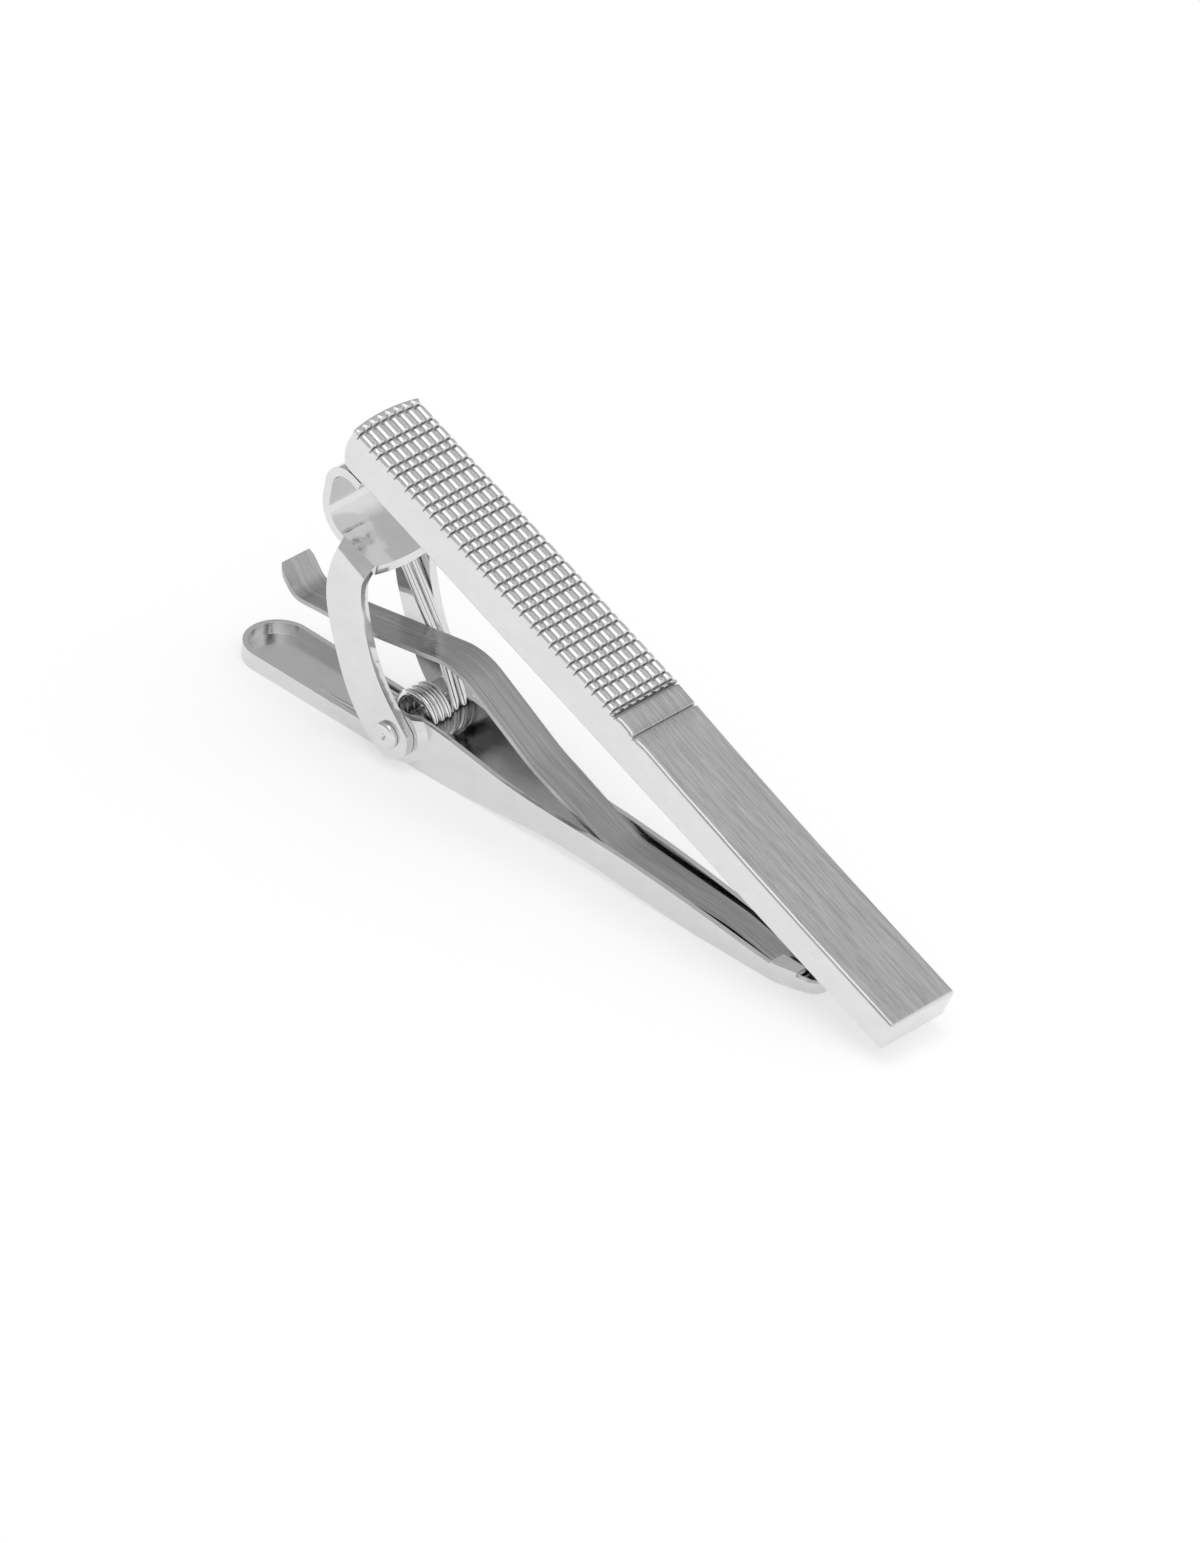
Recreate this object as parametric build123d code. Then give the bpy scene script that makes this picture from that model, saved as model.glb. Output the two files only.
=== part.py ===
from build123d import *
import os
from math import cos, radians, sin

# A hinged tie clip, in millimetres, +Z up. It rests on the flat underside of its back channel. The origin is on that
# surface, straight under the hinge pin. +X runs towards the nose of the clip and Y runs across it, so that the clip is
# the same on both sides of Y = 0, apart from its spring.

# Front bar
BAR_LENGTH = 58.0
BAR_WIDTH = 6.3
BAR_REAR_HEIGHT = 3.5
BAR_FRONT_HEIGHT = 2.7
BAR_PITCH = 21.35  # degrees that the bar points down towards the nose
BAR_CORNER_X = -5.25  # rear end of the bar's flat underside
BAR_CORNER_Z = 21.69
REAR_BULGE = 1.6  # how far the rounded rear end stands behind that point
TEXTURE_END = 26.6  # along the bar, from that point
BAND_WIDTH = 2.0
GROOVE_WIDTH = 0.3
GROOVE_DEPTH = 0.2
BAR_EDGE = 0.25

# Hinge
PIVOT_Z = 2.65
PIN_RADIUS = 0.7
RUNNING_FIT = 0.03
HEAD_RADIUS = 1.05
HEAD_HEIGHT = 0.4
DIMPLE_RADIUS = 0.3

# Yoke, one strip of folded sheet
YOKE_SHEET = 0.7
YOKE_HALF_WIDTH = 3.75
BRIDGE_HALF_WIDTH = 3.1
BRIDGE_SLOPE = 16.1  # degrees
BRIDGE_TOP_AT_X0 = 14.55
TAB_LENGTH = 9.0
TAB_HALF_WIDTH = 2.35
SOLDER_GAP = 0.08
CURL_HIGH_CORNER = -1.63  # along the bar's underside, where the tab would meet the curl with no bend
CURL_LOW_CORNER = -7.98  # along the bridge, where it would meet the curl with no bend
CURL_RADIUS_HIGH = 1.25
CURL_RADIUS_LOW = 2.15
BRIDGE_END = -1.6
BRIDGE_REAR = (-5.88, 16.25)  # X and Z of the bridge's rear and front corners, where the arms fold down
BRIDGE_FRONT = (-2.66, 15.32)
BRIDGE_BOW_X = -2.3  # how far forward the bridge's front edge bows in the middle
FOLD_LOW = (-4.7, 14.27)  # X and Z of a point where the fold's facet meets the arm
ARM_REAR = [(-6.11, 15.08), (-6.7, 12.4), (-5.52, 7.24), (-3.66, 3.55)]  # X and Z down the arm's rear edge
ARM_FRONT = [(0.95, 4.2), (-1.3, 6.83), (-2.86, 10.55), (-3.3, 13.45)]  # up its front edge
EYE_REAR = (-1.5, 1.4)  # the arm's round end, from rear to front
EYE_FOOT = (0.9, 0.92)
EYE_FRONT = (1.83, 3.32)
TAB_TRIM_START = 0.8  # along the bar, where the tab becomes narrower than the bridge

# Back channel, one pressed sheet
CHANNEL_SHEET = 0.4
TAIL_RADIUS = 2.65
TAIL_CENTRE_X = -14.7
WAIST_X = -2.0
WAIST_RADIUS = 2.57
SHOULDER_X = 35.8
SHOULDER_RADIUS = 1.7
NOSE_CENTRE_X = 38.3
NOSE_RADIUS = 1.1
TAIL_RIM = 1.35
TOWER_RIM = 4.4
NOSE_RIM = 1.45
ARCH = 0.75  # height of the hollow under the channel's front half
BOSS_FACE = 3.02
BOSS_FOOT_RADIUS = 2.95
BOSS_TOP_RADIUS = 2.35

# Grip leaf
LEAF_SHEET = 0.38
LEAF_HALF_WIDTH = 1.55
LEAF_NOSE_HALF_WIDTH = 0.92
LEAF_LIP_CORNER = 0.8
LEAF_LIP_X = -13.8
LEAF_TAPER_X = 14.0  # from here the leaf narrows towards the nose
LEAF_NOSE_X = 38.0
LEAF_PATH = [  # X and Z of the corners of the leaf's upper side, from lip to nose
    (-13.5, 9.3),
    (-11.9, 7.42),
    (-7.5, 7.72),
    (4.1, 9.72),
    (12.0, 5.3),
    (20.0, 2.2),
    (31.0, 1.75),
    (35.2, 1.0),
    (37.2, 1.0),
]
LEAF_BENDS = [1.4, 8, 5.5, 12, 6, 14, 5]

# Ears that hold the leaf down
EAR_X = 35.5
EAR_LENGTH = 2.1
EAR_TOP = 1.5
EAR_SHEET = 0.42
EAR_GAP = 0.35  # half the gap between the two ears

# Torsion spring
WIRE_RADIUS = 0.33
COIL_RADIUS = 1.92
COIL_CENTRE = (0.15, 2.85)  # X and Z: the coil hangs loosely round the pin
COIL_NEAR_Y = -1.2
COIL_TURNS = 3.25
HAIRPIN_COIL_Y = (0.95, 1.75)  # where the hairpin's two wires leave the coil
HAIRPIN_BEND_Z = 4.0
HAIRPIN_KNEE = (-0.95, 7.4)  # X and Z of the bend that carries the wires past the leaf
HAIRPIN_KNEE_Y = (1.96, 2.68)
HAIRPIN_TOP = (-5.75, 14.3)  # X and Z of the turn under the bridge
HAIRPIN_TOP_Y = (1.75, 2.6)
SPRING_LEG_END_X = -8.7
SPRING_LEG_END_Y = 1.8

FRONT = Plane.XZ  # drawing in the clip's side view, X across and Z up


def frame(x, z, pitch):
    """A side-view plane at x, z whose first axis points down by pitch degrees towards the nose."""
    turn = radians(pitch)
    return Plane(origin=(x, 0, z), x_dir=(cos(turn), 0, -sin(turn)), z_dir=(0, -1, 0))


BAR_FRAME = frame(BAR_CORNER_X, BAR_CORNER_Z, BAR_PITCH)
BRIDGE_FRAME = frame(0, BRIDGE_TOP_AT_X0, BRIDGE_SLOPE)


def across(face, half_width):
    """A side-view face made into a solid that is as wide on both sides of Y = 0."""
    return extrude(face, amount=half_width, both=True)


def lying_rod(x, z, radius, y_from, y_to):
    """A cylinder along Y."""
    base = Plane(origin=(x, y_from, z), x_dir=(1, 0, 0), z_dir=(0, 1, 0))
    return extrude(base * Circle(radius), amount=y_to - y_from)


def lying_cone(x, z, radius_from, radius_to, y_from, y_to):
    """A cone along Y."""
    base = Plane(origin=(x, y_from, z), x_dir=(1, 0, 0), z_dir=(0, 1 if y_to > y_from else -1, 0))
    return loft([base * Circle(radius_from), base.offset(abs(y_to - y_from)) * Circle(radius_to)])


def front_bar():
    """The solid bar, thicker where it is textured, with its rear end rounded in side view."""
    front = BAR_LENGTH - REAR_BULGE
    band_end = TEXTURE_END + BAND_WIDTH
    outline = [
        ThreePointArc((-1.3, BAR_REAR_HEIGHT), (-REAR_BULGE, 2.0), (-1.42, 0.8)),
        ThreePointArc((-1.42, 0.8), (-1.02, 0.15), (-0.3, 0)),
        Polyline((-0.3, 0), (front, 0), (front, BAR_FRONT_HEIGHT)),
        Spline(
            (front, BAR_FRONT_HEIGHT),
            (front - 17, BAR_FRONT_HEIGHT + 0.03),
            (TEXTURE_END, BAR_REAR_HEIGHT),
            tangents=[(-1, 0), (-1, 0)],
        ),
        Line((TEXTURE_END, BAR_REAR_HEIGHT), (-1.3, BAR_REAR_HEIGHT)),
    ]
    bar = across(BAR_FRAME * make_face(outline), BAR_WIDTH / 2)
    long_edges = [edge for edge in bar.edges() if edge.length > 20 and abs(edge.center().Y) > BAR_WIDTH / 2 - 0.1]
    bar = fillet(long_edges, BAR_EDGE)
    for groove_x in (TEXTURE_END, band_end):
        groove = Pos(groove_x, BAR_REAR_HEIGHT) * Rectangle(GROOVE_WIDTH, 2 * GROOVE_DEPTH + 0.3)
        bar -= across(BAR_FRAME * groove, BAR_WIDTH)
    return bar


def strip():
    """The yoke's long strip in side view: the tab under the bar, the curl behind it and the bridge in front."""
    tab_under = -SOLDER_GAP - YOKE_SHEET
    corners = [
        BAR_FRAME.from_local_coords((TAB_LENGTH, tab_under)),
        BAR_FRAME.from_local_coords((CURL_HIGH_CORNER, tab_under)),
        BRIDGE_FRAME.from_local_coords((CURL_LOW_CORNER, 0)),
        BRIDGE_FRAME.from_local_coords((BRIDGE_END, 0)),
    ]
    points = [(corner.X, corner.Z) for corner in corners]
    inner = FilletPolyline(*points, radius=[CURL_RADIUS_HIGH, CURL_RADIUS_LOW])
    return make_face(offset(inner, amount=YOKE_SHEET, side=Side.RIGHT))


def roof(inset):
    """The space under the bridge and its two folds, as the outside of the sheet or, with an inset, its inside."""
    half = YOKE_HALF_WIDTH - inset
    block = Box(40, 2 * half, 24, align=(Align.CENTER, Align.CENTER, Align.MAX))
    space = BRIDGE_FRAME * Rot(-90, 0, 0) * Pos(0, 0, -inset) * block
    for side in (-1, 1):
        rear_top = Vector(BRIDGE_REAR[0], side * BRIDGE_HALF_WIDTH, BRIDGE_REAR[1])
        front_top = Vector(BRIDGE_FRONT[0], side * BRIDGE_HALF_WIDTH, BRIDGE_FRONT[1])
        low = Vector(FOLD_LOW[0], side * YOKE_HALF_WIDTH, FOLD_LOW[1])
        along = front_top - rear_top
        outward = along.cross(low - rear_top).normalized()
        if outward.Z < 0:
            outward = -outward
        cutter = Plane(origin=rear_top - outward * inset, x_dir=along, z_dir=outward)
        space -= cutter * Box(40, 40, 6, align=(Align.CENTER, Align.CENTER, Align.MIN))
    return space


def arm_outline():
    """One arm and its share of the bridge in side view."""
    rear = Spline(BRIDGE_REAR, *ARM_REAR, EYE_REAR)
    eye = ThreePointArc(EYE_REAR, EYE_FOOT, EYE_FRONT)
    front = Spline(EYE_FRONT, *ARM_FRONT, BRIDGE_FRONT)
    return make_face([rear, eye, front, Line(BRIDGE_FRONT, BRIDGE_REAR)])


def hinge_yoke():
    """The folded sheet that carries the bar and swings on the pin."""
    arms = roof(0) - roof(YOKE_SHEET)
    arms &= across(FRONT * arm_outline(), YOKE_HALF_WIDTH)
    long_strip = across(FRONT * strip(), BRIDGE_HALF_WIDTH)
    corner_x, half = BRIDGE_FRONT[0], BRIDGE_HALF_WIDTH
    bow = ThreePointArc((corner_x, -half), (BRIDGE_BOW_X, 0), (corner_x, half))
    ahead = Polyline((corner_x, half), (2, half), (2, -half), (corner_x, -half))
    long_strip -= extrude(Plane.XY.offset(12) * make_face([bow, ahead]), amount=4)
    for side in (-1, 1):
        trim = Box(TAB_LENGTH, 2, 4, align=(Align.MIN, Align.CENTER, Align.CENTER))
        long_strip -= BAR_FRAME * Rot(-90, 0, 0) * Pos(TAB_TRIM_START, side * (TAB_HALF_WIDTH + 1), 0) * trim
    yoke = arms + long_strip
    yoke -= lying_rod(0, PIVOT_Z, PIN_RADIUS + RUNNING_FIT, -6, 6)
    return yoke


def solder_joint():
    """A thin film between tab and bar."""
    film = Box(TAB_LENGTH - 0.4, 2 * TAB_HALF_WIDTH - 0.4, SOLDER_GAP, align=(Align.MIN, Align.CENTER, Align.MAX))
    return BAR_FRAME * Rot(-90, 0, 0) * Pos(0.1, 0, 0) * film


def plan(inset):
    """The channel's boat shape from above, smaller by inset all round."""
    rounds = [
        (TAIL_CENTRE_X, TAIL_RADIUS),
        (WAIST_X, WAIST_RADIUS),
        (SHOULDER_X, SHOULDER_RADIUS),
        (NOSE_CENTRE_X, NOSE_RADIUS),
    ]
    circles = [Pos(x, 0) * Circle(radius - inset) for x, radius in rounds]
    return make_hull([edge for circle in circles for edge in circle.edges()])


def side_view(lift, rim_lift):
    """The channel in side view, with its underside raised by lift and its rim by rim_lift."""
    tail = TAIL_CENTRE_X - TAIL_RADIUS - 1
    nose = NOSE_CENTRE_X + NOSE_RADIUS + 1
    rim = [
        Line((tail, TAIL_RIM + rim_lift), (-4.0, TAIL_RIM + rim_lift)),
        Spline(
            (-4.0, TAIL_RIM + rim_lift),
            (-2.0, 3.1 + rim_lift),
            (0, TOWER_RIM + rim_lift),
            tangents=[(1, 0), (1, 0)],
        ),
        Spline(
            (0, TOWER_RIM + rim_lift),
            (4.6, 4.05 + rim_lift),
            (10, 3.2 + rim_lift),
            (19, 2.8 + rim_lift),
            (28, 2.15 + rim_lift),
            (34, NOSE_RIM + rim_lift),
            (nose, NOSE_RIM - 0.35 + rim_lift),
            tangents=[(1, 0), (1, 0)],
        ),
    ]
    under = [
        Line((nose, NOSE_RIM - 0.35 + rim_lift), (nose, 0.45 + lift)),
        Spline(
            (nose, 0.45 + lift),
            (35.5, lift),
            (27.5, 0.05 + lift),
            (15.5, ARCH + lift),
            (1.5, lift),
            tangents=[(-1, -0.2), (-1, 0)],
        ),
        Polyline((1.5, lift), (tail, lift), (tail, TAIL_RIM + rim_lift)),
    ]
    return make_face(rim + under)


def pressed_boat(inset, rim_lift):
    """The solid inside the channel's outer skin, or, with an inset, inside its inner skin."""
    boat = extrude(plan(inset), amount=8) & across(FRONT * side_view(inset, rim_lift), 4)
    for side in (-1, 1):
        foot = side * (WAIST_RADIUS - inset - 0.3)
        face = side * (BOSS_FACE - inset)
        boss = lying_cone(0, PIVOT_Z, BOSS_FOOT_RADIUS - inset, BOSS_TOP_RADIUS - inset, foot, face)
        boat += boss & across(FRONT * side_view(inset, rim_lift), 4)
    return boat


def base_channel():
    """The pressed channel behind the tie, with its two ears folded over the leaf."""
    channel = pressed_boat(0, 0) - pressed_boat(CHANNEL_SHEET, 6)
    ears = Pos(EAR_X, 0, EAR_TOP) * Box(EAR_LENGTH, 8, EAR_SHEET, align=(Align.MIN, Align.CENTER, Align.MAX))
    ears &= extrude(plan(0), amount=8)
    ears -= Pos(EAR_X - 1, 0, 0) * Box(EAR_LENGTH + 2, 2 * EAR_GAP, 8, align=(Align.MIN, Align.CENTER, Align.MIN))
    channel += ears
    channel -= lying_rod(0, PIVOT_Z, PIN_RADIUS, -6, 6)
    return channel


def grip_leaf():
    """The spring ribbon that grips the tie, from its lip over the tail to its seat under the ears."""
    upper = FilletPolyline(*LEAF_PATH, radius=LEAF_BENDS)
    ribbon = across(FRONT * make_face(offset(upper, amount=LEAF_SHEET, side=Side.RIGHT)), LEAF_HALF_WIDTH)
    sides = Polyline(
        (LEAF_LIP_X, -LEAF_HALF_WIDTH),
        (LEAF_TAPER_X, -LEAF_HALF_WIDTH),
        (LEAF_NOSE_X, -LEAF_NOSE_HALF_WIDTH),
        (LEAF_NOSE_X, LEAF_NOSE_HALF_WIDTH),
        (LEAF_TAPER_X, LEAF_HALF_WIDTH),
        (LEAF_LIP_X, LEAF_HALF_WIDTH),
        (LEAF_LIP_X, -LEAF_HALF_WIDTH),
    )
    outline = make_face(sides)
    outline = fillet(outline.vertices().sort_by(Axis.X)[:2], LEAF_LIP_CORNER)
    return ribbon & extrude(outline, amount=12)


def wire(path):
    """Spring wire along a path."""
    start = Plane(origin=path @ 0, z_dir=path % 0)
    return sweep(start * Circle(WIRE_RADIUS), path=path)


def torsion_spring():
    """The coil round the pin, the hairpin that lifts the bridge and the two legs over the channel's floor.

    The wire is one piece. Its coil, its hairpin with the far leg, and its near leg are solids that meet end to end.
    """
    near_y, far_y = HAIRPIN_COIL_Y
    height = near_y - COIL_NEAR_Y
    helix = Helix(pitch=height / COIL_TURNS, height=height, radius=COIL_RADIUS, lefthand=True)
    coil_x, coil_z = COIL_CENTRE
    place = Plane(origin=(coil_x, COIL_NEAR_Y, coil_z), x_dir=(0, 0, -1), z_dir=(0, 1, 0))
    coil_foot = coil_z - COIL_RADIUS

    def hairpin_side(coil_y, knee_y, top_y):
        return [
            (coil_x + COIL_RADIUS, coil_y, coil_z),
            (coil_x + COIL_RADIUS, coil_y, HAIRPIN_BEND_Z),
            (HAIRPIN_KNEE[0], knee_y, HAIRPIN_KNEE[1]),
            (HAIRPIN_TOP[0], top_y, HAIRPIN_TOP[1]),
        ]

    going_up, going_down = map(hairpin_side, HAIRPIN_COIL_Y, HAIRPIN_KNEE_Y, HAIRPIN_TOP_Y)
    turn = (HAIRPIN_TOP_Y[1] - HAIRPIN_TOP_Y[0]) / 2 - 0.01
    hairpin = FilletPolyline(*going_up, *reversed(going_down), radius=[1.5, 4, turn, turn, 4, 1.5])
    side = Plane(origin=(coil_x, far_y, coil_z), x_dir=(1, 0, 0), z_dir=(0, -1, 0))
    quarter = side * CenterArc((0, 0), COIL_RADIUS, 0, -90)
    far_leg = Line((coil_x, far_y, coil_foot), (SPRING_LEG_END_X, far_y, coil_foot))
    near_leg = Line((coil_x, COIL_NEAR_Y, coil_foot), (SPRING_LEG_END_X, -SPRING_LEG_END_Y, coil_foot))
    stretches = [place * helix, Wire([*hairpin.edges(), quarter.edge(), far_leg.edge()]), near_leg]
    return Compound([wire(stretch).solid() for stretch in stretches])


def pivot_rivet():
    """The pin through both arms and both channel walls, headed on each side."""
    rivet = lying_rod(0, PIVOT_Z, PIN_RADIUS, -YOKE_HALF_WIDTH - 0.1, YOKE_HALF_WIDTH + 0.1)
    for side in (-1, 1):
        inner = side * (YOKE_HALF_WIDTH + RUNNING_FIT)
        outer = inner + side * HEAD_HEIGHT
        head = lying_rod(0, PIVOT_Z, HEAD_RADIUS, min(inner, outer), max(inner, outer))
        rim = [edge for edge in head.edges() if abs(edge.center().Y - outer) < 0.01]
        head = fillet(rim, HEAD_HEIGHT * 0.7)
        head -= lying_cone(0, PIVOT_Z, DIMPLE_RADIUS, 0.02, outer, outer - side * 0.2)
        rivet += head
    return rivet


NODES = {
    "front_bar": front_bar,
    "solder_joint": solder_joint,
    "hinge_yoke": hinge_yoke,
    "base_channel": base_channel,
    "grip_leaf": grip_leaf,
    "torsion_spring": torsion_spring,
    "pivot_rivet": pivot_rivet,
}

os.makedirs("parts", exist_ok=True)
for name, make in NODES.items():
    export_step(make(), os.path.join("parts", name + ".step"))
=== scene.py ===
"""A hinged tie clip on a pale floor: materials, studio and the pieces shaped further than the solids."""

from math import acos, cos, hypot, pi, radians, sin, sqrt, tan

import bmesh
import bpy
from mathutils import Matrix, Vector


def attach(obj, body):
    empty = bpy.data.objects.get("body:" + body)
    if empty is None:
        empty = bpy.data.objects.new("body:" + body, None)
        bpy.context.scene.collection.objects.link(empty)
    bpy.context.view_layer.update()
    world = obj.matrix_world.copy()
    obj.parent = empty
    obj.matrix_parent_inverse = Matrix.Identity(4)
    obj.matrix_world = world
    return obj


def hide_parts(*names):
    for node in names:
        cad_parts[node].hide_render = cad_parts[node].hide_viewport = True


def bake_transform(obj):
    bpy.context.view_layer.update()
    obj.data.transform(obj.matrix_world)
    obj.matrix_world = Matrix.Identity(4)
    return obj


MM = 0.001

# The clip's driving sizes, in millimetres
BAR_LENGTH = 58.0
BAR_WIDTH = 6.3
BAR_PITCH = 21.35  # degrees
BAR_CORNER = (-5.25, 21.69)  # X and Z of the rear end of the bar's underside
REAR_BULGE = 1.6
REAR_HEIGHT = 3.5
FRONT_HEIGHT = 2.7
TEXTURE_END = 26.6
GROOVES = (26.75, 28.75)
GROOVE_DEPTH = 0.3
GROOVE_SHAPE = (  # distance from the groove's middle, and depth
    (-0.16, 0.0),
    (-0.13, 0.02),
    (-0.06, GROOVE_DEPTH),
    (0.03, GROOVE_DEPTH),
    (0.1, 0.07),
    (0.18, 0.0),
)
GROOVE_PAINTED_SHADE_FROM = 0.1  # depth from which a groove's points carry painted shade
COLUMNS = 8
RIDGE_HEIGHT = 0.16
RIDGE_SHAPE = 2.0  # power of the ridges' cross-section
SHORT_ROW = 0.73
LONG_ROW = 1.21
FIRST_ROWS = (0.35, 1.36)  # the cut-off short row at the rear end and the longer row after it
SHORT_ROWS = 14
ROW_GAP_DEPTH = 0.24
ROW_END = 0.24  # how far from a cut the ridges' ends begin to drop
END_CURVE = 0.09  # how far a ridge's end draws back at its two sides, seen from above
# Width of the cuts' mask, which also sets a slight extra drop, and the tone of the painted shade in the cut
# bottoms
CUT_WIDTH = 0.1
CUT_PAINTED_SHADE = 0.36
TEXTURE_SHIFT = REAR_BULGE - 0.3  # from the rear top edge to the rear of the underside
TEXTURE_EDGE = 0.22
PLAIN_EDGE = 0.26
REAR_EDGE = 0.16
FRONT_EDGE = 0.3
REAR_BOW = 0.35
# The rear end's side view as arcs: centre, radius, first and last angle, steps
REAR_ARCS = (
    ((-0.35, 1.07), 1.07, -90, -165, 8),
    ((3.4, 2.05), 5.0, 188, 170, 9),
    ((-1.33, 3.3), 0.2, 170, 100, 4),
)

# Where the bar's mesh has its points
CUT_STATIONS = (0.0, 0.02, 0.05, 0.09, 0.14, 0.2, 0.27)  # distances from a cross cut
RIDGE_STATIONS = (0.0, 0.06, 0.14, 0.24, 0.36, 0.5, 0.64, 0.76, 0.86, 0.94)  # shares of a ridge's width
EDGE_STATIONS = (0.015, 0.05, 0.11, 0.2, 0.3)  # shares of twice the texture's edge radius
SIDE_FACE_WIDTH = 0.04  # the outermost part of the top that belongs to the polished sides

WIRE_RADIUS = 0.33
COIL_RADIUS = 1.92
COIL_CENTRE = (0.15, 2.85)  # X and Z: the coil hangs loosely round the pin
COIL_NEAR_Y = -1.2
COIL_TURNS = 3.25
HAIRPIN_COIL_Y = (0.95, 1.75)
HAIRPIN_BEND_Z = 4.0
HAIRPIN_KNEE = (-0.95, 7.4)
HAIRPIN_KNEE_Y = (1.96, 2.68)
HAIRPIN_TOP = (-5.75, 14.3)
HAIRPIN_TOP_Y = (1.75, 2.6)
SPRING_LEG_END_X = -8.7
SPRING_LEG_END_Y = 1.8

BEADS = ((-1.05, -0.15, 0.34), (-0.5, -0.92, 0.36))  # along the bar, up from its underside, and radius
BEAD_HALF_LENGTH = 2.9

BEAD_LUMPS = ((0.16, 5.1, 0.6), (0.1, 11.3, 0.0), (0.05, 23.0, 1.0))  # height, waves per mm and start
BEAD_STEPS = 96
BEAD_SIDES = 20

# Studio
FLOOR_SHADE = 0.8
FLOOR_GLOW = 0.38
FLOOR_HALF_SIZE = 3000  # mm
FLOOR_DROP = 0.02  # mm, so that the floor does not flicker through the clip's underside
SOFTBOX_SIZE = (0.5, 0.65)  # m
SOFTBOX_PLACE = (0.07, -0.085, 0.95)  # m
SOFTBOX_POWER = 1.35
ROOM_TONES = ((0.15, 0.48), (0.5, 0.6), (0.83, 0.93))  # place from the rear to the front, and tone

# Camera, in millimetres and degrees
CAMERA_PLACE = (399.88, -426.29, 411.33)
CAMERA_TURN = (54.71, -3.356, 44.30)
CAMERA_LENS = 234.95
SENSOR = 36.0


# Materials


class Nodes:
    """A material's node tree with short calls for what the metals here are made of."""

    def __init__(self, name):
        self.material = bpy.data.materials.new(name)
        self.material.use_nodes = True
        self.tree = self.material.node_tree
        self.shader = self.tree.nodes["Principled BSDF"]

    def node(self, kind, inputs=(), **settings):
        made = self.tree.nodes.new(kind)
        for name, value in settings.items():
            setattr(made, name, value)
        for name, value in dict(inputs).items():
            self.put(made.inputs[name], value)
        return made

    def put(self, socket, value):
        if isinstance(value, bpy.types.NodeSocket):
            self.tree.links.new(value, socket)
        else:
            socket.default_value = value

    def place(self, scale, turn=(0, 0, 0)):
        """Object coordinates in millimetres, stretched by scale, once turned."""
        where = self.node("ShaderNodeTexCoord").outputs["Object"]
        turned = self.node("ShaderNodeMapping", {"Vector": where, "Rotation": turn}).outputs["Vector"]
        stretch = tuple(s / MM for s in scale)
        return self.node("ShaderNodeMapping", {"Vector": turned, "Scale": stretch}).outputs["Vector"]

    def noise(self, where, detail=3.0, roughness=0.6):
        found = self.node(
            "ShaderNodeTexNoise", {"Vector": where, "Scale": 1.0, "Detail": detail, "Roughness": roughness}
        )
        return found.outputs["Fac"]

    def spread(self, value, low, high, start=0.3, end=0.7):
        """The value from start to end spread over low to high."""
        inputs = {"Value": value, "From Min": start, "From Max": end, "To Min": low, "To Max": high}
        return self.node("ShaderNodeMapRange", inputs).outputs["Result"]

    def math(self, operation, first, second):
        made = self.node("ShaderNodeMath", operation=operation)
        self.put(made.inputs[0], first)
        self.put(made.inputs[1], second)
        return made.outputs[0]

    def painted_cut_shade(self):
        """Painted shade in the mesh's narrow cuts, standing in for the shade that falls into them."""
        share = self.node("ShaderNodeAttribute", attribute_name="cut").outputs["Fac"]
        return self.spread(share, 1.0, CUT_PAINTED_SHADE, 0.0, 1.0)

    def grey(self, value):
        channels = {"Red": value, "Green": value, "Blue": value}
        return self.node("ShaderNodeCombineColor", channels).outputs["Color"]

    def bump(self, height, distance, before=None):
        inputs = {"Height": height, "Distance": distance * MM, "Strength": 1.0}
        if before is not None:
            inputs["Normal"] = before
        return self.node("ShaderNodeBump", inputs).outputs["Normal"]

    def metal(self, shade, roughness, normal):
        self.put(self.shader.inputs["Base Color"], self.grey(shade))
        self.put(self.shader.inputs["Metallic"], 1.0)
        self.put(self.shader.inputs["Roughness"], roughness)
        self.put(self.shader.inputs["Normal"], normal)
        return self.material


def polished(name, shade, roughness, waviness=0.004, cuts=False):
    """Polished plating: faint haze, fine wipe marks, a slightly uneven surface and, if asked, painted shade in
    the cuts.
    """
    n = Nodes(name)
    haze = n.noise(n.place((0.5, 0.5, 0.5)), 4.0)
    wipes = n.noise(n.place((0.7, 9.0, 9.0)), 2.0)
    tone = n.math("ADD", n.spread(haze, -0.02, 0.02), n.spread(wipes, shade - 0.015, shade + 0.015))
    # painted shade in the cuts
    if cuts:
        tone = n.math("MULTIPLY", tone, n.painted_cut_shade())
    gloss = n.math("ADD", n.spread(haze, -0.03, 0.03), n.spread(wipes, roughness - 0.02, roughness + 0.03))
    uneven = n.bump(n.noise(n.place((0.45, 0.45, 0.45)), 1.0), waviness * 4)
    return n.metal(tone, gloss, n.bump(wipes, waviness / 6, uneven))


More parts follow.
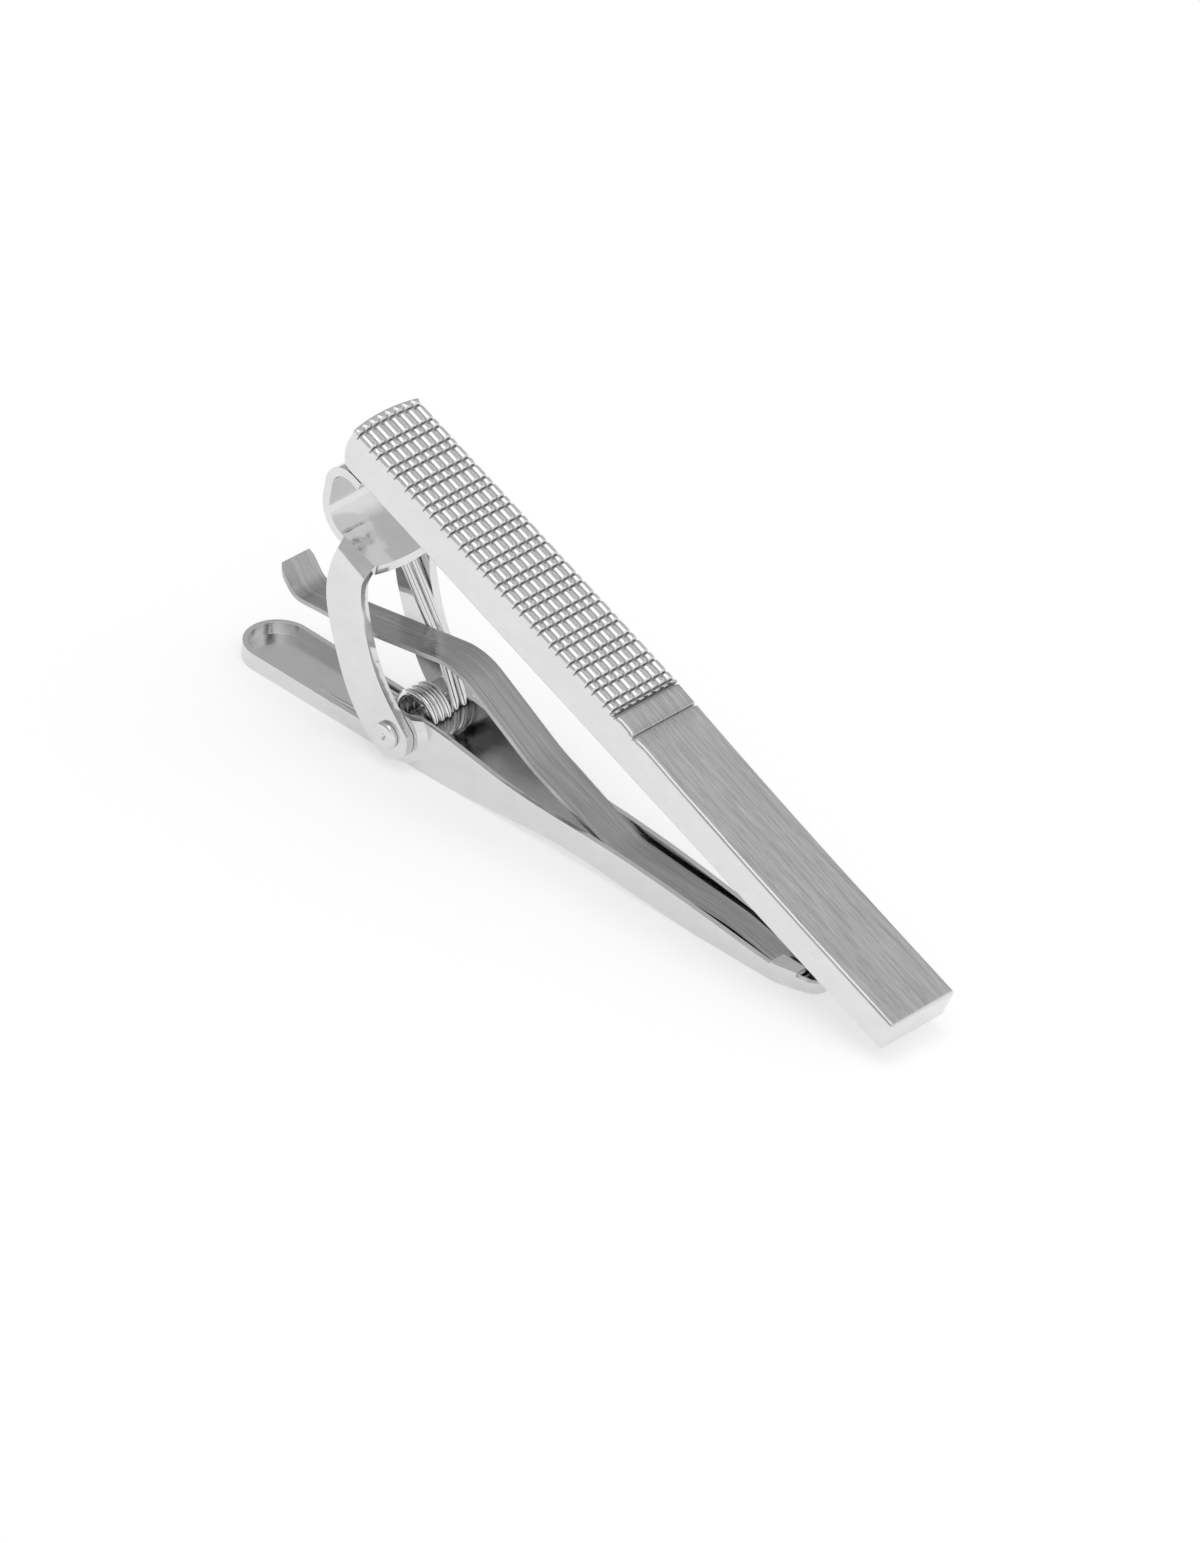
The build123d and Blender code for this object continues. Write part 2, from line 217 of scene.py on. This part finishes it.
def brushed(name, shade, roughness, pitch, line_width, line_length, contrast, depth, cuts=False):
    """Metal brushed along the clip: fine lines in tone, gloss and height, some longer scratches and, if asked,
    painted shade in the cuts.
    """
    n = Nodes(name)
    turn = (0, radians(-pitch), 0)
    across = 1 / line_width
    along = 1 / line_length
    fine = n.noise(n.place((along, across, along), turn), 4.0, 0.65)
    broad = n.noise(n.place((along / 3, across / 4, along / 3), turn), 3.0)
    single = n.noise(n.place((along / 2, across * 1.7, along / 2), turn), 1.0)
    marks = n.spread(single, 0.0, contrast, 0.66, 0.8)
    lines_tone = n.spread(fine, shade - contrast, shade + contrast)
    tone = n.math("ADD", lines_tone, n.spread(broad, -contrast, contrast))
    gloss = n.math("ADD", n.spread(fine, roughness - 0.05, roughness + 0.05), n.spread(broad, -0.05, 0.05))
    lines = n.bump(fine, depth)
    tone = n.math("ADD", tone, marks)
    # painted shade in the cuts
    if cuts:
        tone = n.math("MULTIPLY", tone, n.painted_cut_shade())
    return n.metal(tone, gloss, n.bump(broad, depth * 2, lines))


# Shapes


def new_piece(name, mesh_maker):
    """An object whose mesh is filled in by mesh_maker(bm), which works in millimetres."""
    mesh = bpy.data.meshes.new(name)
    bm = bmesh.new()
    mesh_maker(bm)
    bmesh.ops.scale(bm, vec=(MM, MM, MM), verts=bm.verts)
    bmesh.ops.recalc_face_normals(bm, faces=bm.faces)
    bm.to_mesh(mesh)
    bm.free()
    piece = bpy.data.objects.new(name, mesh)
    bpy.context.scene.collection.objects.link(piece)
    return piece


def dress(piece, body, slot, *materials):
    """Gives a piece its materials and the body that carries it. The slot argument is not used."""
    slots = piece.data.materials
    for i, material in enumerate(materials):
        if i < len(slots):
            slots[i] = material
        else:
            slots.append(material)
    if body:
        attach(piece, body)
    return piece


def refined(node, name, edge, sharp=32.0):
    """A CAD node's shape with its sharp edges rounded, as tumbling and plating leave them."""
    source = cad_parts[node]
    mesh = source.data.copy()
    bm = bmesh.new()
    bm.from_mesh(mesh)
    bmesh.ops.remove_doubles(bm, verts=bm.verts, dist=0.002 * MM)
    bmesh.ops.dissolve_limit(bm, angle_limit=radians(0.4), verts=bm.verts, edges=bm.edges)
    bm.to_mesh(mesh)
    bm.free()
    for attribute in ("custom_normal", "sharp_face", "sharp_edge"):
        if attribute in mesh.attributes:
            mesh.attributes.remove(mesh.attributes[attribute])
    mesh.shade_smooth()
    piece = bpy.data.objects.new(name, mesh)
    bpy.context.scene.collection.objects.link(piece)
    bevel = piece.modifiers.new("edges", "BEVEL")
    bevel.limit_method = "ANGLE"
    bevel.angle_limit = radians(sharp)
    bevel.width = edge * MM
    bevel.segments = 3
    bevel.use_clamp_overlap = True
    normals = piece.modifiers.new("normals", "WEIGHTED_NORMAL")
    normals.keep_sharp = False
    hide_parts(node)
    return piece


def bar_point(along, y, up):
    """A point of the bar, from its place along the bar, across it and up from its underside."""
    turn = radians(BAR_PITCH)
    x = BAR_CORNER[0] + along * cos(turn) + up * sin(turn)
    z = BAR_CORNER[1] - along * sin(turn) + up * cos(turn)
    return Vector((x, y, z))


def arc(centre, radius, start, end, steps):
    """Points on an arc, with its angles in degrees."""
    turns = [radians(start + (end - start) * i / steps) for i in range(steps + 1)]
    return [(centre[0] + radius * cos(a), centre[1] + radius * sin(a)) for a in turns]


def row_cuts():
    """Distances of the texture's cross cuts from the bar's rear top edge."""
    cuts = [FIRST_ROWS[0], sum(FIRST_ROWS)]
    for i in range(SHORT_ROWS):
        cuts.append(cuts[-1] + SHORT_ROW)
        if i < SHORT_ROWS - 1:
            cuts.append(cuts[-1] + LONG_ROW)
    return cuts


CUTS = row_cuts()


def pillow(distance, radius):
    """How far a pillow's end has dropped at a distance from its cut."""
    t = min(max(distance / radius, 0.0), 1.0)
    return 1 - sqrt(1 - (1 - t) ** 2)


def cut_distances(along, y):
    """Distances from the nearest cross cut and from the nearest valley between two ridges."""
    column = BAR_WIDTH / COLUMNS
    place = ((y + BAR_WIDTH / 2) / column) % 1.0
    return min(abs(along + TEXTURE_SHIFT - cut) for cut in CUTS), column * (0.5 - abs(place - 0.5))


def cut_share(along, y):
    """1 in the bottom of a cut or valley, falling to 0 at its sides: the mask of the painted shade in the
    cuts, and of a slight extra drop. The bar's own long edges have no cut.
    """
    to_row, to_column = cut_distances(along, y)
    at_edge = abs(y) > BAR_WIDTH / 2 * (1 - 1 / COLUMNS)
    return max(0.0, 1 - (to_row if at_edge else min(to_row, to_column)) / CUT_WIDTH)


def texture_drop(along, y):
    """Depth of the texture below the ridge tops."""
    to_row, to_column = cut_distances(along, y)
    off_crest = 1 - 2 * to_column / (BAR_WIDTH / COLUMNS)
    row = ROW_GAP_DEPTH * pillow(to_row - END_CURVE * off_crest ** 2, ROW_END)
    ridge = RIDGE_HEIGHT * off_crest ** RIDGE_SHAPE
    return max(row, ridge) + 0.35 * min(row, ridge) + 0.05 * cut_share(along, y)


def top_height(along):
    """Height of the bar's top over its underside, without texture."""
    if along < TEXTURE_END:
        return REAR_HEIGHT
    t = (along - TEXTURE_END) / (BAR_LENGTH - REAR_BULGE - TEXTURE_END)
    return FRONT_HEIGHT + (REAR_HEIGHT - 0.12 - FRONT_HEIGHT) * (1 - t) ** 2.6


def bar_profile():
    """The bar's side view as (along, up, kind): from the rear of its underside, over the top, to the front."""
    front = BAR_LENGTH - REAR_BULGE
    points = [(2.0, 0, "plain"), (0.3, 0, "plain")]
    for bend in REAR_ARCS:
        points += [(a, u, "plain") for a, u in arc(*bend)]
    cuts = sorted(CUTS)
    rows = [-0.06] + cuts
    stations = []
    for low, high in zip(rows, rows[1:]):
        middle = (low + high) / 2
        ends = [o for o in CUT_STATIONS if low + o < middle - 0.02]
        inner = [low + o for o in ends] + [middle] + [high - o for o in reversed(ends) if o > 0]
        stations += inner
    stations += [cuts[-1] + o for o in CUT_STATIONS]
    points += [(s - TEXTURE_SHIFT, REAR_HEIGHT, "texture") for s in stations if s > 0.05]
    start = points[-1][0] + 0.05
    for groove in GROOVES:
        points += plain_run(start, groove - 0.16, 0.4)
        for offset, depth in GROOVE_SHAPE:
            # points deeper than GROOVE_PAINTED_SHADE_FROM are marked for painted shade
            kind = "groove" if depth > GROOVE_PAINTED_SHADE_FROM else "top"
            points.append((groove + offset, top_height(groove + offset) - depth, kind))
        start = groove + 0.18
    points += plain_run(start, front - 0.4, 1.0)
    upper, lower = (front - FRONT_EDGE, top_height(front) - FRONT_EDGE), (front - FRONT_EDGE, FRONT_EDGE)
    points += [(a, u, "plain") for a, u in arc(upper, FRONT_EDGE, 80, 0, 6)]
    points += [(a, u, "plain") for a, u in arc(lower, FRONT_EDGE, 0, -90, 6)]
    points += [(front * i / 20, 0, "plain") for i in range(19, 0, -1)]
    return points


def plain_run(start, end, step):
    """Points along the bar's untextured top, about a step apart."""
    count = max(1, round((end - start) / step))
    spots = [start + (end - start) * i / count for i in range(count + 1)]
    return [(s, top_height(s), "top") for s in spots]


def across_stations():
    """Places across the bar, close together in every valley of the texture and at the long edges."""
    half = BAR_WIDTH / 2
    column = BAR_WIDTH / COLUMNS
    spots = set()
    for i in range(COLUMNS):
        for share in RIDGE_STATIONS:
            spots.add(round(-half + (i + share) * column, 4))
    for share in EDGE_STATIONS:
        spots.add(round(-half + share * TEXTURE_EDGE * 2, 4))
        spots.add(round(half - share * TEXTURE_EDGE * 2, 4))
    spots.add(half)
    return sorted(spots)


def edge_drop(y, radius):
    """How far the long edge's rounding has gone down at y."""
    over = abs(y) - (BAR_WIDTH / 2 - radius)
    if over <= 0:
        return 0.0
    return radius - sqrt(max(radius * radius - over * over, 0.0))


def rear_bow(along, y):
    """The rear end stands out further in the middle than at its two sides."""
    share = min(max(-along / REAR_BULGE, 0.0), 1.0)
    return (bar_point(0, 0, 0) - bar_point(1, 0, 0)) * (REAR_BOW * share * (1 - (2 * y / BAR_WIDTH) ** 2))


def build_bar(bm):
    profile = bar_profile()
    count = len(profile)
    normals = []
    for i in range(count):
        before, after = profile[i - 1], profile[(i + 1) % count]
        along, up = after[0] - before[0], after[1] - before[1]
        size = hypot(along, up) or 1.0
        normals.append((-up / size, along / size))
    # The "cut" attribute is the mask of the painted shade in the texture's cuts and the grooves
    cut = bm.verts.layers.float.new("cut")
    columns = []
    for y in across_stations():
        ring = []
        for (along, up, kind), (out_along, out_up) in zip(profile, normals):
            if kind == "texture":
                drop = edge_drop(y, TEXTURE_EDGE) + texture_drop(along, y)
                ring.append(bm.verts.new(bar_point(along, y, up - drop)))
                ring[-1][cut] = cut_share(along, y)
            elif kind in ("top", "groove"):
                ring.append(bm.verts.new(bar_point(along, y, up - edge_drop(y, PLAIN_EDGE))))
                # painted shade on the grooves' deep points
                ring[-1][cut] = float(kind == "groove")
            else:
                drop = edge_drop(y, PLAIN_EDGE if along > 0.5 else REAR_EDGE)
                ring.append(bm.verts.new(bar_point(along - out_along * drop, y, up - out_up * drop)))
            ring[-1].co += rear_bow(along, y)
        columns.append(ring)
    for near, far in zip(columns, columns[1:]):
        for i in range(count):
            j = (i + 1) % count
            face = bm.faces.new((near[i], near[j], far[j], far[i]))
            face.smooth = True
            textured = profile[i][2] == "texture" and profile[j][2] == "texture"
            middle = abs(near[i].co.y + far[i].co.y) / 2 < BAR_WIDTH / 2 - SIDE_FACE_WIDTH
            top = middle and "top" in (profile[i][2], profile[j][2])
            face.material_index = 1 if textured else 0 if top else 2
    for ring in (columns[0], columns[-1]):
        bm.faces.new(ring).material_index = 2


def rounded(corners, radii, steps=10):
    """A path through 3-D corners with each inner one rounded to its radius."""
    path = [corners[0]]
    for before, corner, after, radius in zip(corners, corners[1:], corners[2:], radii):
        back, ahead = (before - corner).normalized(), (after - corner).normalized()
        half = acos(max(-1.0, min(1.0, back.dot(ahead)))) / 2
        reach = radius / tan(half)
        middle = (back + ahead).normalized()
        centre = corner + middle * (radius / sin(half))
        first, last = corner + back * reach - centre, corner + ahead * reach - centre
        turn = pi - 2 * half
        for i in range(steps + 1):
            t = i / steps
            point = (first * sin((1 - t) * turn) + last * sin(t * turn)) / sin(turn)
            path.append(centre + point)
    path.append(corners[-1])
    return path


def spring_path():
    """The spring's centreline: near leg, coil, up and over the hairpin and back to the far leg."""
    coil_x, coil_z = COIL_CENTRE
    foot = coil_z - COIL_RADIUS
    near_y, far_y = HAIRPIN_COIL_Y
    coil_start = Vector((coil_x, COIL_NEAR_Y, foot))
    leg_end = Vector((SPRING_LEG_END_X, -SPRING_LEG_END_Y, foot))
    path = [leg_end.lerp(coil_start, i / 8) for i in range(8)]
    steps = round(COIL_TURNS * 32)
    for i in range(steps + 1):
        turn = 2 * pi * COIL_TURNS * i / steps
        y = COIL_NEAR_Y + (near_y - COIL_NEAR_Y) * i / steps
        path.append(Vector((coil_x + COIL_RADIUS * sin(turn), y, coil_z - COIL_RADIUS * cos(turn))))

    def side(coil_y, knee_y, top_y):
        return [
            Vector((coil_x + COIL_RADIUS, coil_y, coil_z)),
            Vector((coil_x + COIL_RADIUS, coil_y, HAIRPIN_BEND_Z)),
            Vector((HAIRPIN_KNEE[0], knee_y, HAIRPIN_KNEE[1])),
            Vector((HAIRPIN_TOP[0], top_y, HAIRPIN_TOP[1])),
        ]

    up, down = map(side, HAIRPIN_COIL_Y, HAIRPIN_KNEE_Y, HAIRPIN_TOP_Y)
    turn = (HAIRPIN_TOP_Y[1] - HAIRPIN_TOP_Y[0]) / 2 - 0.01
    path += rounded([*up, *reversed(down)], [1.5, 4, turn, turn, 4, 1.5])[1:]
    for i in range(1, 9):
        angle = pi / 2 * i / 8
        path.append(Vector((coil_x + COIL_RADIUS * cos(angle), far_y, coil_z - COIL_RADIUS * sin(angle))))
    path += [Vector((coil_x + (SPRING_LEG_END_X - coil_x) * i / 6, far_y, foot)) for i in range(1, 7)]
    return path


def wire(name, path, radius):
    """Round wire along a path, with domed ends, as a mesh."""
    curve = bpy.data.curves.new(name, "CURVE")
    curve.dimensions = "3D"
    spline = curve.splines.new("POLY")
    ends = ((path[0] - path[1]).normalized(), (path[-1] - path[-2]).normalized())
    domes = [(radius * sin(a), cos(a)) for a in (1.45, 1.15, 0.8, 0.4)]
    points = [(path[0] + ends[0] * d, r) for d, r in domes]
    points += [(p, 1.0) for p in path]
    points += [(path[-1] + ends[1] * d, r) for d, r in reversed(domes)]
    spline.points.add(len(points) - 1)
    for spot, (place, share) in zip(spline.points, points):
        spot.co = (*(place * MM), 1.0)
        spot.radius = share
    curve.bevel_depth = radius * MM
    curve.bevel_resolution = 6
    curve.use_fill_caps = True
    drawn = bpy.data.objects.new(name + "_line", curve)
    mesh = bpy.data.meshes.new_from_object(drawn)
    bpy.data.objects.remove(drawn)
    mesh.shade_smooth()
    piece = bpy.data.objects.new(name, mesh)
    bpy.context.scene.collection.objects.link(piece)
    return piece


def build_bead(bm):
    """Lumpy solder in the corner between the bar's underside and the yoke's curl, outside and inside it."""
    for along, up, radius in BEADS:
        solder_run(bm, along, up, radius)


def solder_run(bm, along, up, thickness):
    """One run of solder across the clip, at a place given in the bar's own directions."""
    rings = []
    for i in range(BEAD_STEPS + 1):
        t = 2 * i / BEAD_STEPS - 1
        y = BEAD_HALF_LENGTH * t
        end = sqrt(max(1 - t ** 8, 0.004))
        lump = 1 + sum(height * sin(waves * y + start) for height, waves, start in BEAD_LUMPS)
        ring = []
        for j in range(BEAD_SIDES):
            a = 2 * pi * j / BEAD_SIDES
            radius = thickness * end * (lump + 0.1 * sin(3 * a + 6.0 * y))
            place = bar_point(along + radius * cos(a), y, up + radius * sin(a))
            ring.append(bm.verts.new(place))
        rings.append(ring)
    for near, far in zip(rings, rings[1:]):
        for j in range(BEAD_SIDES):
            k = (j + 1) % BEAD_SIDES
            bm.faces.new((near[j], near[k], far[k], far[j]))
    for ring in (rings[0], rings[-1]):
        bm.faces.new(ring)


# Studio


def studio():
    """A white floor, an overhead softbox and a grey room that is palest in front of the clip."""
    scene = bpy.context.scene
    scene.view_settings.view_transform = "Standard"
    n = Nodes("floor_white")
    n.put(n.shader.inputs["Base Color"], (FLOOR_SHADE, FLOOR_SHADE, FLOOR_SHADE, 1))
    n.put(n.shader.inputs["Roughness"], 1.0)
    n.put(n.shader.inputs["Specular IOR Level"], 0.0)
    n.put(n.shader.inputs["Emission Color"], (1, 1, 1, 1))
    n.put(n.shader.inputs["Emission Strength"], FLOOR_GLOW)

    def sheet(bm):
        bmesh.ops.create_grid(bm, x_segments=1, y_segments=1, size=FLOOR_HALF_SIZE)
        bmesh.ops.translate(bm, vec=(0, 0, -FLOOR_DROP), verts=bm.verts)

    floor = new_piece("floor", sheet)
    floor.data.materials.append(n.material)

    light = bpy.data.lights.new("softbox", "AREA")
    light.shape = "RECTANGLE"
    light.size, light.size_y = SOFTBOX_SIZE
    light.energy = SOFTBOX_POWER
    lamp = bpy.data.objects.new("softbox", light)
    lamp.location = SOFTBOX_PLACE
    scene.collection.objects.link(lamp)

    world = bpy.data.worlds.new("room")
    world.use_nodes = True
    scene.world = world
    tree = world.node_tree
    where = tree.nodes.new("ShaderNodeTexCoord")
    parts = tree.nodes.new("ShaderNodeSeparateXYZ")
    ramp = tree.nodes.new("ShaderNodeValToRGB")
    stops = ramp.color_ramp.elements
    stops.new(ROOM_TONES[1][0])
    for stop, (place, tone) in zip(stops, ROOM_TONES):
        stop.position = place
        stop.color = (tone, tone, tone, 1)
    shift = tree.nodes.new("ShaderNodeMapRange")
    shift.inputs["From Min"].default_value = -1
    tree.links.new(where.outputs["Generated"], parts.inputs["Vector"])
    tree.links.new(parts.outputs["X"], shift.inputs["Value"])
    tree.links.new(shift.outputs["Result"], ramp.inputs["Fac"])
    tree.links.new(ramp.outputs["Color"], tree.nodes["Background"].inputs["Color"])
    tree.nodes["Background"].inputs["Strength"].default_value = 1.0


def camera():
    data = bpy.data.cameras.new("camera")
    data.lens = CAMERA_LENS
    data.sensor_width = SENSOR
    data.sensor_fit = "AUTO"
    data.clip_start = 0.01
    data.clip_end = 20
    eye = bpy.data.objects.new("camera", data)
    eye.location = Vector(CAMERA_PLACE) * MM
    eye.rotation_euler = tuple(radians(a) for a in CAMERA_TURN)
    bpy.context.scene.collection.objects.link(eye)
    bpy.context.scene.camera = eye


# The scene

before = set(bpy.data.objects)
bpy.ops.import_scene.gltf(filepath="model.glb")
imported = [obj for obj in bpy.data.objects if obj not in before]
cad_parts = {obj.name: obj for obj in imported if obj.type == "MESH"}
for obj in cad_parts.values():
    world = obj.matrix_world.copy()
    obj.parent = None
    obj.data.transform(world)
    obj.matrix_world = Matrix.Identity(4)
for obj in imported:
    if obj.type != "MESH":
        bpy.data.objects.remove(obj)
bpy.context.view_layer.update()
studio()
camera()

# cuts=True gives these two materials painted shade in the cuts
bar_brushed = brushed("bar_brushed", 0.58, 0.3, BAR_PITCH, 0.045, 1.5, 0.09, 0.004, cuts=True)
bar_cast = polished("bar_ridges", 0.76, 0.2, 0.002, cuts=True)
bar_polished = polished("bar_sides", 0.75, 0.18)
sheet_polished = polished("polished_sheet", 0.74, 0.1)
channel_polished = polished("channel_polished", 0.73, 0.2, 0.001)
wire_polished = polished("spring_wire", 0.78, 0.07, 0.001)
leaf_brushed = brushed("leaf_brushed", 0.43, 0.2, 0.0, 0.055, 3.0, 0.08, 0.004)
solder_satin = polished("solder_satin", 0.74, 0.15, 0.01)

bar = new_piece("textured_bar", build_bar)
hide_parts("front_bar")
dress(bar, "lever", "bar_metal", bar_brushed, bar_cast, bar_polished)

spring = wire("spring_wire", spring_path(), WIRE_RADIUS)
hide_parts("torsion_spring")
dress(spring, None, "spring_wire", wire_polished)
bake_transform(spring)

yoke = refined("hinge_yoke", "folded_yoke", 0.07)
dress(yoke, "lever", "polished_sheet", sheet_polished)
channel = refined("base_channel", "pressed_channel", 0.1)
dress(channel, "base", "polished_sheet", channel_polished)
leaf = refined("grip_leaf", "spring_leaf", 0.05)
dress(leaf, "base", "brushed_leaf", leaf_brushed)
rivet = refined("pivot_rivet", "hinge_rivet", 0.03)
dress(rivet, "base", "polished_sheet", sheet_polished)
bead = new_piece("solder_bead", build_bead)
bead.data.shade_smooth()
dress(bead, "lever", "solder", solder_satin)
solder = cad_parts["solder_joint"]
solder.data.materials.clear()
solder.data.materials.append(solder_satin)
